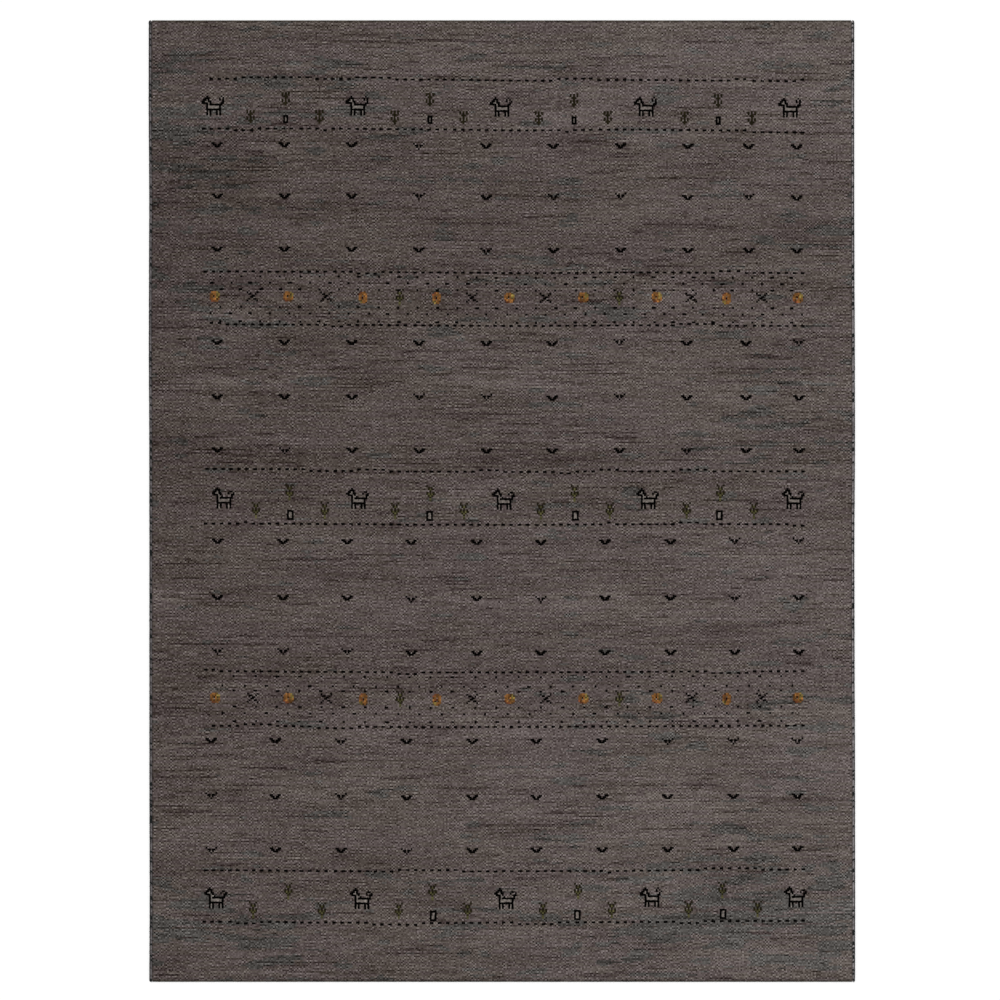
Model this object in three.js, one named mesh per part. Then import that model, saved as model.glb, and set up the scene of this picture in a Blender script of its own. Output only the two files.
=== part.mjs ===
// Hand-knotted wool rug, laid flat. Millimetres, +Z up.
// The origin is on the floor under the middle of the rug. +Y runs along the rug to its far end.
import * as THREE from "three";
import { mergeVertices } from "three/addons/utils/BufferGeometryUtils.js";

// Driving dimensions

const RUG_WIDTH = 1800;
const RUG_LENGTH = 2450;
const RUG_THICKNESS = 14;

const CORD_WIDTH = 8;
const CORD_HEIGHT = 9;
const CORD_SIDES = 12;
const CORD_STEPS = 48;

const HEM_DEPTH = 4;
const HEM_THICKNESS = 5;
const HEM_STEP = 0.6;

const PIECE_GAP = 0.3;
const GRID_ACROSS = 24;
const GRID_ALONG = 34;

// How much the shears leave the pile uneven, and the lengths of its slow and its quick rolls.
const HAND_UNEVENNESS = 0.45;
const SLOW_ROLL = 240;
const QUICK_ROLL = 110;
const SLOW_SHARE = 0.7;

// How far each long edge stands inside the rug's widest lines, by place along the rug.
// 0 is the near end and 1 the far end. The rug leans a little to the left as it runs away.
const EDGE_WAVER = [
  { place: 0.0, left: 1.7, right: 0.2 },
  { place: 0.09, left: 2.6, right: 0.0 },
  { place: 0.22, left: 1.9, right: 0.3 },
  { place: 0.34, left: 1.8, right: 1.4 },
  { place: 0.45, left: 1.9, right: 1.9 },
  { place: 0.56, left: 1.5, right: 0.4 },
  { place: 0.66, left: 0.4, right: 0.7 },
  { place: 0.75, left: 0.9, right: 1.8 },
  { place: 0.81, left: 1.5, right: 2.3 },
  { place: 0.92, left: 0.0, right: 2.4 },
  { place: 1.0, left: 0.3, right: 2.2 },
];

// Height of the pile by distance in from its edge: the tufts at the rim splay and stand lower.
const PILE_SHOULDER = [
  { inset: 0, drop: 5.0 },
  { inset: 1.5, drop: 2.4 },
  { inset: 4.5, drop: 0.8 },
  { inset: 10, drop: 0 },
];

const COLOURS = { pile: 0x544b48, cord: 0x3a3d37 };

// Plain helpers

// A row's value in one column of a table, eased between the rows on each side of it.
function readTable(table, keyColumn, column, key) {
  const last = table.length - 1;
  if (key <= table[0][keyColumn]) return table[0][column];
  if (key >= table[last][keyColumn]) return table[last][column];
  const next = table.findIndex((row) => row[keyColumn] > key);
  const [from, to] = [table[next - 1], table[next]];
  const share = (key - from[keyColumn]) / (to[keyColumn] - from[keyColumn]);
  return THREE.MathUtils.lerp(from[column], to[column], THREE.MathUtils.smoothstep(share, 0, 1));
}

function edgeX(side, y) {
  const place = y / RUG_LENGTH + 0.5;
  const column = side < 0 ? "left" : "right";
  return side * (RUG_WIDTH / 2 - readTable(EDGE_WAVER, "place", column, place));
}

// Joins the vertices that lie together, so that the surface is one closed body.
function closedSurface(geometry) {
  geometry.deleteAttribute("normal");
  geometry.deleteAttribute("uv");
  const closed = mergeVertices(geometry, 1e-4);
  closed.computeVertexNormals();
  return closed;
}

function sheetPiece(name, geometry, colour) {
  const finish = new THREE.MeshStandardMaterial({ color: colour, roughness: 0.95, metalness: 0 });
  const piece = new THREE.Mesh(geometry, finish);
  piece.name = name;
  return piece;
}

// The knotted field, with the hem at each end

const fieldInset = CORD_WIDTH + PIECE_GAP;

// Distances in from both edges at which a grid line crosses the pile, closest at the rim.
function gridLines(span, count, rimLines) {
  const shoulderEnd = rimLines[rimLines.length - 1];
  const middleCount = count - 2 * rimLines.length;
  const lines = [...rimLines];
  for (let step = 1; step <= middleCount + 1; step += 1) {
    const share = step / (middleCount + 2);
    lines.push(shoulderEnd + share * (span - 2 * shoulderEnd));
  }
  return [...lines, ...rimLines.map((line) => span - line).reverse()];
}

const shoulderInsets = PILE_SHOULDER.map((row) => row.inset);
const hemLines = [0, HEM_DEPTH, ...shoulderInsets.map((inset) => HEM_DEPTH + HEM_STEP + inset)];

// A soft roll of the pile's height, as the weaver's shears leave it.
function shearedRoll(x, y) {
  const slow = Math.sin(x / SLOW_ROLL + Math.sin(y / SLOW_ROLL)) * Math.cos(y / SLOW_ROLL);
  const quick = Math.sin((x - y) / QUICK_ROLL);
  return HAND_UNEVENNESS * (SLOW_SHARE * slow + (1 - SLOW_SHARE) * quick);
}

function fieldTop(x, y, acrossInset, alongInset) {
  if (alongInset <= HEM_DEPTH) return HEM_THICKNESS;
  const pileInset = Math.min(acrossInset, alongInset - HEM_DEPTH - HEM_STEP);
  const drop = readTable(PILE_SHOULDER, "inset", "drop", pileInset);
  return RUG_THICKNESS - HAND_UNEVENNESS - drop + shearedRoll(x, y);
}

function knottedField() {
  const width = RUG_WIDTH - 2 * fieldInset;
  const across = gridLines(width, GRID_ACROSS, shoulderInsets);
  const along = gridLines(RUG_LENGTH, GRID_ALONG, hemLines);
  const geometry = new THREE.BoxGeometry(1, 1, 1, across.length - 1, along.length - 1, 1);
  const corner = geometry.getAttribute("position");
  for (let index = 0; index < corner.count; index += 1) {
    const acrossAt = across[Math.round((corner.getX(index) + 0.5) * (across.length - 1))];
    const alongAt = along[Math.round((corner.getY(index) + 0.5) * (along.length - 1))];
    const y = alongAt - RUG_LENGTH / 2;
    const leftX = edgeX(-1, y) + fieldInset;
    const rightX = edgeX(1, y) - fieldInset;
    const x = THREE.MathUtils.lerp(leftX, rightX, acrossAt / width);
    const acrossInset = Math.min(acrossAt, width - acrossAt);
    const alongInset = Math.min(alongAt, RUG_LENGTH - alongAt);
    const top = corner.getZ(index) > 0;
    corner.setXYZ(index, x, y, top ? fieldTop(x, y, acrossInset, alongInset) : 0);
  }
  return closedSurface(geometry);
}

// The overcast cord along each side

// An oval section with a flat underside on the floor, swept along the rug's edge.
function selvedgeCord(side) {
  const geometry = new THREE.CylinderGeometry(0.5, 0.5, 1, CORD_SIDES, CORD_STEPS);
  geometry.rotateX(Math.PI / 2);
  geometry.rotateZ(Math.PI / CORD_SIDES);
  const flat = 0.5 * Math.cos(Math.PI / CORD_SIDES);
  const corner = geometry.getAttribute("position");
  for (let index = 0; index < corner.count; index += 1) {
    const y = -corner.getZ(index) * RUG_LENGTH;
    const middleX = edgeX(side, y) - (side * CORD_WIDTH) / 2;
    const x = middleX + (corner.getX(index) / flat) * (CORD_WIDTH / 2);
    const z = (corner.getY(index) / flat + 1) * (CORD_HEIGHT / 2);
    corner.setXYZ(index, x, y, z);
  }
  return closedSurface(geometry);
}

const rug = new THREE.Group();
rug.add(sheetPiece("knotted_field", knottedField(), COLOURS.pile));
rug.add(sheetPiece("selvedge_left", selvedgeCord(-1), COLOURS.cord));
rug.add(sheetPiece("selvedge_right", selvedgeCord(1), COLOURS.cord));

export default rug;
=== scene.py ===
"""Hand-knotted wool rug, laid flat on a pale floor and seen from straight above. Metres, +Z up.

The pile is a grid with one face for each knot, worked from charts and from random draws with a fixed seed.
"""

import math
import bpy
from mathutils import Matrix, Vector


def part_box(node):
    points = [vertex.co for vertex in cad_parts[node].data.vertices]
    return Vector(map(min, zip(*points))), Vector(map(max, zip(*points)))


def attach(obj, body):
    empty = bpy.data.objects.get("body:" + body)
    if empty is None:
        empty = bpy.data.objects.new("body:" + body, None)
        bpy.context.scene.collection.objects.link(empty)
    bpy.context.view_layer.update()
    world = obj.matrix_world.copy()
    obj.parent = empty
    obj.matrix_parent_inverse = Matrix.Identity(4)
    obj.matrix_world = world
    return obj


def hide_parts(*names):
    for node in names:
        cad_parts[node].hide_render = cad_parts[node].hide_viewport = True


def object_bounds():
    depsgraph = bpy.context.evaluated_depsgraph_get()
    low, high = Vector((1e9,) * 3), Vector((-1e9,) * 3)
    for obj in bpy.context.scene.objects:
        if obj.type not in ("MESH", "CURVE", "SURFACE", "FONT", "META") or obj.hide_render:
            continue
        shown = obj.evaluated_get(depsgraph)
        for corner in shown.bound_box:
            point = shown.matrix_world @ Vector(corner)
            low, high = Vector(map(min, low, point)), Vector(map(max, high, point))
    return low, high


bl_info = {
    "name": "Hand-knotted wool rug",
    "version": (1, 0, 0),
    "blender": (4, 5, 0),
    "location": "View3D > Sidebar > Rug",
    "description": "Builds a hand-knotted wool rug: pile, woven back with hems, overcast sides and studio",
    "category": "Add Mesh",
}

import bpy
import numpy as np
from bpy.props import FloatProperty, FloatVectorProperty, IntProperty, PointerProperty
from mathutils import Vector

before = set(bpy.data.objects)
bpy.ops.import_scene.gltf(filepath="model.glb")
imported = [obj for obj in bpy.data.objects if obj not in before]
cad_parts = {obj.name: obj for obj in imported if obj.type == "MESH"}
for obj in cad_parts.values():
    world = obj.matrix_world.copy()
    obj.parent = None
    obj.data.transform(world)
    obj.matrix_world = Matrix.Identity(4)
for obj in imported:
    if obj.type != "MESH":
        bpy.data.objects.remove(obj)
CAD_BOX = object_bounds()

# Sizes of the cloth

FIELD_LOW, FIELD_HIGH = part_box("knotted_field")
NEAR_END = FIELD_LOW.y
FAR_END = FIELD_HIGH.y
RUG_LENGTH = FAR_END - NEAR_END
RUG_WIDTH = CAD_BOX[1].x - CAD_BOX[0].x
CORD_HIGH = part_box("selvedge_left")[1].z
CORD_WIDTH = 0.008
PIECE_GAP = 0.0003

HEM_DEPTH = 0.004
HEM_THICKNESS = 0.005
HEM_STEP = 0.0006
PILE_START = HEM_DEPTH + HEM_STEP
FIELD_START = CORD_WIDTH + PIECE_GAP
PILE_LENGTH = RUG_LENGTH - 2 * PILE_START

PILE_TOP = 0.01355
PILE_FOOT = 0.0015
WALL_HEIGHTS = (0.0015, 0.0055)
# The pile's walls are drawn a little lighter than their knots: painted light against the shade in the gap
# between the pile and the cords.
WALL_PAINTED_LIGHT = 1.05
BACK_HEIGHT = 0.0006
BACK_KNOT = 0.0041

# How the shears leave the pile, the same slow and quick rolls as on the solid beneath.
HAND_UNEVENNESS = 0.00045
SLOW_ROLL = 0.24
QUICK_ROLL = 0.11
SLOW_SHARE = 0.7

# Height of the pile by distance in from its edge: the tufts at the rim splay and stand lower.
SHOULDER = [
    {"inset": 0.0, "drop": 0.0050},
    {"inset": 0.0015, "drop": 0.0024},
    {"inset": 0.0045, "drop": 0.0008},
    {"inset": 0.010, "drop": 0.0},
]

# How far the rows of knots wander along the rug, by place across it from left to right.
# The far half and the near half differ, and the ends are straight.
ROW_SAG = [
    {"across": 0.0, "far": 0.0020, "near": 0.0018},
    {"across": 0.12, "far": 0.0029, "near": 0.0009},
    {"across": 0.25, "far": 0.0031, "near": -0.0013},
    {"across": 0.40, "far": 0.0009, "near": -0.0028},
    {"across": 0.53, "far": -0.0021, "near": -0.0008},
    {"across": 0.68, "far": 0.0001, "near": 0.0001},
    {"across": 0.82, "far": -0.0024, "near": 0.0029},
    {"across": 1.0, "far": -0.0050, "near": 0.0050},
]
SAG_FREE_END = 0.09

# How strongly a row of tufts stands out from the row before it, and a tuft from the one beside it.
# The turn from row to row is partly painted shade between the overlapping rows of tufts.
ROW_CONTRAST = 0.6
SIDE_CONTRAST = 0.25

# Wool, as the eye sees it: red, green and blue in display values

MAUVE_FLEECE = (0.334, 0.295, 0.290)
BEIGE_FLEECE = (0.336, 0.303, 0.284)
GREEN_FLEECE = (0.293, 0.282, 0.272)
LIGHT_WOOL = (0.48, 0.455, 0.43)
BLACK_WOOL = (0.010, 0.007, 0.006)
ORANGE_WOOL = (0.43, 0.29, 0.155)
GOLD_WOOL = (0.42, 0.36, 0.19)
RUST_WOOL = (0.36, 0.21, 0.135)
DARK_OLIVE_WOOL = (0.12, 0.105, 0.06)
OLIVE_WOOL = (0.29, 0.28, 0.18)

# Light and dark wool of one fleece differ by the same step in red, green and blue, a share of the
# ground's own value. This is the most that it may be darker and lighter.
LIGHT_LIMITS = (-0.75, 0.6)

# Dye lots along the rug: where each is in full strength from the far end, and how light it is
# against the ground.
DYE_LOTS = [
    {"from_far": 0.00, "light": 0.02},
    {"from_far": 0.05, "light": 0.04},
    {"from_far": 0.07, "light": 0.07},
    {"from_far": 0.10, "light": 0.02},
    {"from_far": 0.13, "light": -0.04},
    {"from_far": 0.20, "light": -0.04},
    {"from_far": 0.28, "light": -0.04},
    {"from_far": 0.34, "light": -0.01},
    {"from_far": 0.40, "light": 0.00},
    {"from_far": 0.46, "light": -0.04},
    {"from_far": 0.50, "light": -0.03},
    {"from_far": 0.55, "light": 0.02},
    {"from_far": 0.60, "light": 0.05},
    {"from_far": 0.64, "light": 0.02},
    {"from_far": 0.68, "light": -0.01},
    {"from_far": 0.74, "light": 0.05},
    {"from_far": 0.82, "light": 0.04},
    {"from_far": 0.86, "light": 0.04},
    {"from_far": 0.90, "light": 0.03},
    {"from_far": 0.93, "light": 0.08},
    {"from_far": 0.96, "light": 0.05},
    {"from_far": 1.00, "light": 0.03},
]

# Where the grey-green fleece was carded in: its middle and reach, as shares of the rug.
GREEN_PLACES = [
    {"from_far": 0.05, "across": 0.10, "along_reach": 0.03, "across_reach": 0.25, "chance": 0.12},
    {"from_far": 0.05, "across": 0.70, "along_reach": 0.03, "across_reach": 0.30, "chance": 0.07},
    {"from_far": 0.13, "across": 0.08, "along_reach": 0.06, "across_reach": 0.22, "chance": 0.22},
    {"from_far": 0.18, "across": 0.70, "along_reach": 0.04, "across_reach": 0.30, "chance": 0.06},
    {"from_far": 0.23, "across": 0.95, "along_reach": 0.03, "across_reach": 0.12, "chance": 0.16},
    {"from_far": 0.28, "across": 0.05, "along_reach": 0.03, "across_reach": 0.22, "chance": 0.25},
    {"from_far": 0.30, "across": 0.65, "along_reach": 0.03, "across_reach": 0.40, "chance": 0.13},
    {"from_far": 0.42, "across": 0.92, "along_reach": 0.05, "across_reach": 0.15, "chance": 0.16},
    {"from_far": 0.50, "across": 0.60, "along_reach": 0.02, "across_reach": 0.20, "chance": 0.08},
    {"from_far": 0.73, "across": 0.85, "along_reach": 0.06, "across_reach": 0.28, "chance": 0.12},
    {"from_far": 0.81, "across": 0.80, "along_reach": 0.03, "across_reach": 0.20, "chance": 0.06},
    {"from_far": 0.94, "across": 0.06, "along_reach": 0.04, "across_reach": 0.20, "chance": 0.36},
    {"from_far": 0.93, "across": 0.92, "along_reach": 0.05, "across_reach": 0.28, "chance": 0.70},
]
GREEN_EVERYWHERE = 0.03

# Charts of the figures, one mark for each knot
# "#" is black, "o" orange, "y" gold, "r" rust, "d" dark olive, "g" olive and "w" the lightest wool.

GOAT_BODY = (
    "...#wwwwwww#..",
    "...#wwwwwww#..",
    "...#########..",
    "...#w#...#w#..",
    "...#w#...#w#..",
    "...#w#...#w#..",
)
CURLED_GOAT = (
    "...#........#.",
    "..###......#.#",
    ".##w#......#.#",
    "##ww##.......#",
    "####w#......##",
    "...#w########.",
    *GOAT_BODY,
)
FORKED_GOAT = (
    "...#.......#..",
    "..###.....#.#.",
    ".##w#.....#..#",
    "##ww##......#.",
    "####w#.....##.",
    "...#w#######..",
    *GOAT_BODY,
)
HOOKED_GOAT = (
    "...#..........",
    "..###.........",
    ".##w#......##.",
    "##ww##....#..#",
    ".###w#......##",
    "...#ww#.....#.",
    "...#w########.",
    *GOAT_BODY,
)
CHEVRON = (
    "##...##",
    ".##.##.",
    "..###..",
)
DEEP_CHEVRON = (
    "#.....#",
    ".##.##.",
    "..#.#..",
    "...#...",
)
CROSS = (
    "#.....#",
    ".##..#.",
    "...##..",
    "..##...",
    ".#..##.",
    "#.....#",
)
BLOSSOM = (
    ".oooy.",
    "ooooyy",
    "oo#oyy",
    "oowoyo",
    "rooooo",
    ".rroo.",
)
SLIM_BLOSSOM = (
    ".roo.",
    "roooo",
    "oo.oo",
    "or#oo",
    "oo.oo",
    "yyooo",
    ".yoo.",
)
SPRIG = (
    "d.d.d",
    "d.d.d",
    ".ddd.",
    "..d..",
    "d.d.d",
    "d.d.d",
    ".ddd.",
    "..d..",
)
TALL_SPRIG = (
    "d...d",
    ".d.d.",
    ".dgd.",
    "..d..",
    "d.d.d",
    "dgdgd",
    ".dgd.",
    "..d..",
    "..g..",
    "..g..",
)
SLIM_BOX = (
    "###",
    "#w#",
    "#w#",
    "#w#",
    "###",
)
BOX = (
    "####",
    "#ww#",
    "#ww#",
    "#ww#",
    "#ww#",
    "####",
)
DASH = ("##",)
DOT = ("#",)
WOOLS = {
    "#": BLACK_WOOL,
    "o": ORANGE_WOOL,
    "y": GOLD_WOOL,
    "r": RUST_WOOL,
    "d": DARK_OLIVE_WOOL,
    "g": OLIVE_WOOL,
}

# Spread of lightness from knot to knot in the figures' yarns, and in the blossoms' petals.
YARN_SPREAD = 0.12
PETAL_SPREAD = 0.22
PETAL_MARKS = "oyr"

# Where the figures lie: metres from the far end, and from the left edge
# The places are as seen from above, level with the rug's edge. The pile's top is nearer to the eye,
# so they draw in a little toward the middle.

SEEN_ALONG = 0.9975
SEEN_ACROSS = 0.9987
DASH_PITCH = 0.0204
ROW_STRAY = 0.0012
DASH_END = 1.667
DASHED_ROWS = [
    {"from_far": 0.150, "start": 0.159},
    {"from_far": 0.279, "start": 0.139},
    {"from_far": 0.643, "start": 0.143},
    {"from_far": 0.777, "start": 0.161},
    {"from_far": 1.148, "start": 0.146},
    {"from_far": 1.285, "start": 0.143},
    {"from_far": 1.661, "start": 0.143},
    {"from_far": 1.799, "start": 0.164},
    {"from_far": 2.167, "start": 0.143},
    {"from_far": 2.300, "start": 0.141},
]

# Fields of chevrons: three rows each, an even pitch, and sometimes a last pair set apart.
DEEP_SHARE = 0.3
CHEVRON_FIELDS = [
    {"rows": (0.320, 0.448, 0.586), "first": 0.173, "pitch": 0.1720, "count": 8, "last": (1.530, 1.652)},
    {"rows": (0.820, 0.960, 1.098), "first": 0.173, "pitch": 0.1714, "count": 8, "last": (1.523, 1.659)},
    {"rows": (1.329, 1.473, 1.610), "first": 0.175, "pitch": 0.1648, "count": 10, "last": ()},
    {"rows": (1.838, 1.978, 2.116), "first": 0.156, "pitch": 0.1665, "count": 9, "last": (1.654,)},
]

# Bands of goats at an even pitch, the first one sometimes set in. Midway between two goats lies a
# high sprig, with a low sprig on each side of it and a box below.
LOW_SPRIG_REACH = 0.0875
GOAT_BANDS = [
    {
        "line": 0.149,
        "goats": (CURLED_GOAT, CURLED_GOAT, FORKED_GOAT, CURLED_GOAT, CURLED_GOAT),
        "first": 0.165,
        "pitch": 0.368,
        "set_in": 0.0,
        "goat_drop": 0.071,
        "sprig": SPRIG,
        "high": 0.051,
        "low": 0.099,
        "box": SLIM_BOX,
        "box_drop": 0.106,
        "first_box": 0,
    },
    {
        "line": 1.148,
        "goats": (HOOKED_GOAT, HOOKED_GOAT, HOOKED_GOAT, HOOKED_GOAT, HOOKED_GOAT),
        "first": 0.162,
        "pitch": 0.370,
        "set_in": 0.026,
        "goat_drop": 0.072,
        "sprig": TALL_SPRIG,
        "high": 0.055,
        "low": 0.101,
        "box": BOX,
        "box_drop": 0.112,
        "first_box": 0,
    },
    {
        "line": 2.167,
        "goats": (HOOKED_GOAT, HOOKED_GOAT, HOOKED_GOAT, FORKED_GOAT, HOOKED_GOAT),
        "first": 0.168,
        "pitch": 0.370,
        "set_in": 0.0,
        "goat_drop": 0.069,
        "sprig": TALL_SPRIG,
        "high": 0.053,
        "low": 0.101,
        "box": BOX,
        "box_drop": 0.112,
        "first_box": 1,
    },
]

# Blossoms ("O", or "S" where slim), crosses ("X") and sprigs ("P"), closer together after a number of
# steps, with staggered rows of dots round them. Some dots are two knots wide.
BLOSSOM_ORDER = "OXOXSPSXOXOPOXSXO"
BLOSSOM_FIRST = 0.170
BLOSSOM_PITCH = 0.0937
CLOSED_UP_PITCH = 0.0902
CLOSED_UP_AFTER = 12
WIDE_DOT_SHARE = 0.3
BLOSSOM_BANDS = [
    {
        "line": 0.641,
        "drop": 0.066,
        "dot_pitch": 0.0502,
        "even": (0.030, 0.109),
        "odd": (0.015, 0.047, 0.092, 0.126),
        "even_start": 0.159,
    },
    {
        "line": 1.660,
        "drop": 0.070,
        "dot_pitch": 0.0559,
        "even": (0.036, 0.107),
        "odd": (0.015, 0.049, 0.090, 0.127),
        "even_start": 0.1875,
    },
]

# Plain helpers


def read_table(table, key_name, value_name, keys):
    """A column of a table at the given keys, eased between the rows on each side."""
    at = np.array([row[key_name] for row in table])
    values = np.array([row[value_name] for row in table])
    keys = np.clip(keys, at[0], at[-1])
    upper = np.clip(np.searchsorted(at, keys, side="right"), 1, len(at) - 1)
    share = (keys - at[upper - 1]) / (at[upper] - at[upper - 1])
    eased = share * share * (3 - 2 * share)
    return values[upper - 1] + (values[upper] - values[upper - 1]) * eased


def to_linear(display):
    """Display colour values as the renderer's linear ones."""
    display = np.clip(display, 0.0, 1.0)
    return np.where(display <= 0.04045, display / 12.92, ((display + 0.055) / 1.055) ** 2.4)


def node_points(name):
    """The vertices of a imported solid."""
    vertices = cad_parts[name].data.vertices
    points = np.zeros(len(vertices) * 3, np.float32)
    vertices.foreach_get("co", points)
    return points.reshape(-1, 3).astype(float)


def edge_line(name, side, floor_only=False):
    """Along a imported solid, its stations in y and its outermost x on one side at each."""
    points = node_points(name)
    if floor_only:
        points = points[points[:, 2] < PILE_FOOT]
    stations = np.unique(points[:, 1].round(4))
    at = [side * (side * points[np.abs(points[:, 1] - y) < 0.0002, 0]).max() for y in stations]
    return stations, np.array(at)


FIELD_LEFT = edge_line("knotted_field", -1, floor_only=True)
FIELD_RIGHT = edge_line("knotted_field", 1, floor_only=True)


def field_edges(y):
    """Left and right x of the knotted field at y."""
    return np.interp(y, *FIELD_LEFT), np.interp(y, *FIELD_RIGHT)


def sheared_roll(x, y):
    """The soft roll of the pile's height, as the weaver's shears leave it."""
    slow = np.sin(x / SLOW_ROLL + np.sin(y / SLOW_ROLL)) * np.cos(y / SLOW_ROLL)
    quick = np.sin((x - y) / QUICK_ROLL)
    return HAND_UNEVENNESS * (SLOW_SHARE * slow + (1 - SLOW_SHARE) * quick)


def row_sag(across, from_far):
    """How far the rows of knots stand toward the far end at a place on the rug."""
    far = read_table(ROW_SAG, "across", "far", across)
    near = read_table(ROW_SAG, "across", "near", across)
    ends = np.clip(np.minimum(from_far, 1 - from_far) / SAG_FREE_END * 2, 0, 1)
    return (far + (near - far) * from_far) * ends


# Knots and their wool


def eased_steps(count, size):
    """For each of a run of knots, the coarse step it is in and its eased share of that step."""
    at = np.arange(count) / size
    whole = np.floor(at).astype(int)
    part = at - whole
    return whole, part * part * (3 - 2 * part)


def soft_patches(draw, shape, along, across):
    """Smooth random hills of about unit spread, their sizes given in knots."""
    coarse = draw.normal(size=(int(shape[0] / along) + 3, int(shape[1] / across) + 3))
    row, row_part = eased_steps(shape[0], along)
    column, column_part = eased_steps(shape[1], across)
    upper = coarse[row][:, column] * (1 - column_part) + coarse[row][:, column + 1] * column_part
    lower = coarse[row + 1][:, column] * (1 - column_part) + coarse[row + 1][:, column + 1] * column_part
    hills = upper + (lower - upper) * row_part[:, None]
    return hills / hills.std()


def row_by_row(knots, contrast=ROW_CONTRAST):
    """Random lightness that tends to turn over from one row to the next: the knots' own random tone, with
    painted shade between the overlapping rows.
    """
    rows = knots.copy()
    for row in range(1, len(rows)):
        rows[row] -= contrast * rows[row - 1]
    return rows * math.sqrt(1 - contrast**2)


def yarn_runs(draw, shape, mean_length):
    """Numbers the lengths of one yarn along every row, and gives each knot its yarn's number."""
    starts = draw.random(shape) < 1 / mean_length
    starts[:, 0] = True
    return np.cumsum(starts).reshape(shape) - 1


def green_chance(from_far, across):
    """How likely the grey-green fleece is at each place."""
    chance = np.full((len(from_far), len(across)), GREEN_EVERYWHERE)
    for place in GREEN_PLACES:
        along = (from_far - place["from_far"]) / place["along_reach"]
        beside = (across - place["across"]) / place["across_reach"]
        chance += place["chance"] * np.exp(-(along[:, None] ** 2) - beside[None, :] ** 2)
    return np.clip(chance, 0, 0.85)


def ground_wool(pile, draw):
    """Display colour of each ground knot: fleeces, dye lots, yarn ends, dark streaks and knots."""
    shape = (pile.knots_along, pile.knots_across)
    from_far = (np.arange(shape[0]) + 0.5) / shape[0]
    across = (np.arange(shape[1]) + 0.5) / shape[1]

    runs = yarn_runs(draw, shape, pile.yarn_run)
    run_count = runs.max() + 1
    run_shade = draw.normal(size=run_count)[runs]
    run_choice = draw.random(run_count)[runs]

    blend = soft_patches(draw, shape, 16, 50) * 0.5 + draw.normal(size=run_count)[runs]
    colour = np.where((blend > 0)[..., None], MAUVE_FLEECE, BEIGE_FLEECE)
    leaning = soft_patches(draw, shape, 4.5, 20) + 0.5 * soft_patches(draw, shape, 2, 8)
    rank = np.argsort(np.argsort(leaning.ravel())).reshape(shape) / leaning.size
    chance = green_chance(from_far, across)
    green = (rank > 1 - 1.1 * chance) & (run_choice < 0.92)
    colour = np.where(green[..., None], GREEN_FLEECE, colour)

    streaks = yarn_runs(draw, shape, pile.streak_run)
    streak_count = streaks.max() + 1
    gather = 1 + 0.5 * soft_patches(draw, shape, 10, 60) + 0.6 * green
    dark = draw.random(streak_count)[streaks] < pile.streak_share * gather
    depth = draw.uniform(0.10, 0.36, size=streak_count)[streaks]

    light = read_table(DYE_LOTS, "from_far", "light", from_far)[:, None]
    light = light + pile.side_light * (across - 0.5)[None, :]
    light = light + pile.patch_spread * soft_patches(draw, shape, 9, 45)
    light = light + pile.row_spread * row_by_row(draw.normal(size=(shape[0], 1)))
    light = light + pile.run_spread * run_shade
    knots = row_by_row(draw.normal(size=shape))
    knots = row_by_row(knots.T, SIDE_CONTRAST).T
    light = light + pile.knot_spread * knots.clip(-2.5, 2.0)
    light = light - np.where(dark, depth, 0)
    return colour + np.mean(MAUVE_FLEECE) * np.clip(light, *LIGHT_LIMITS)[..., None]


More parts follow.
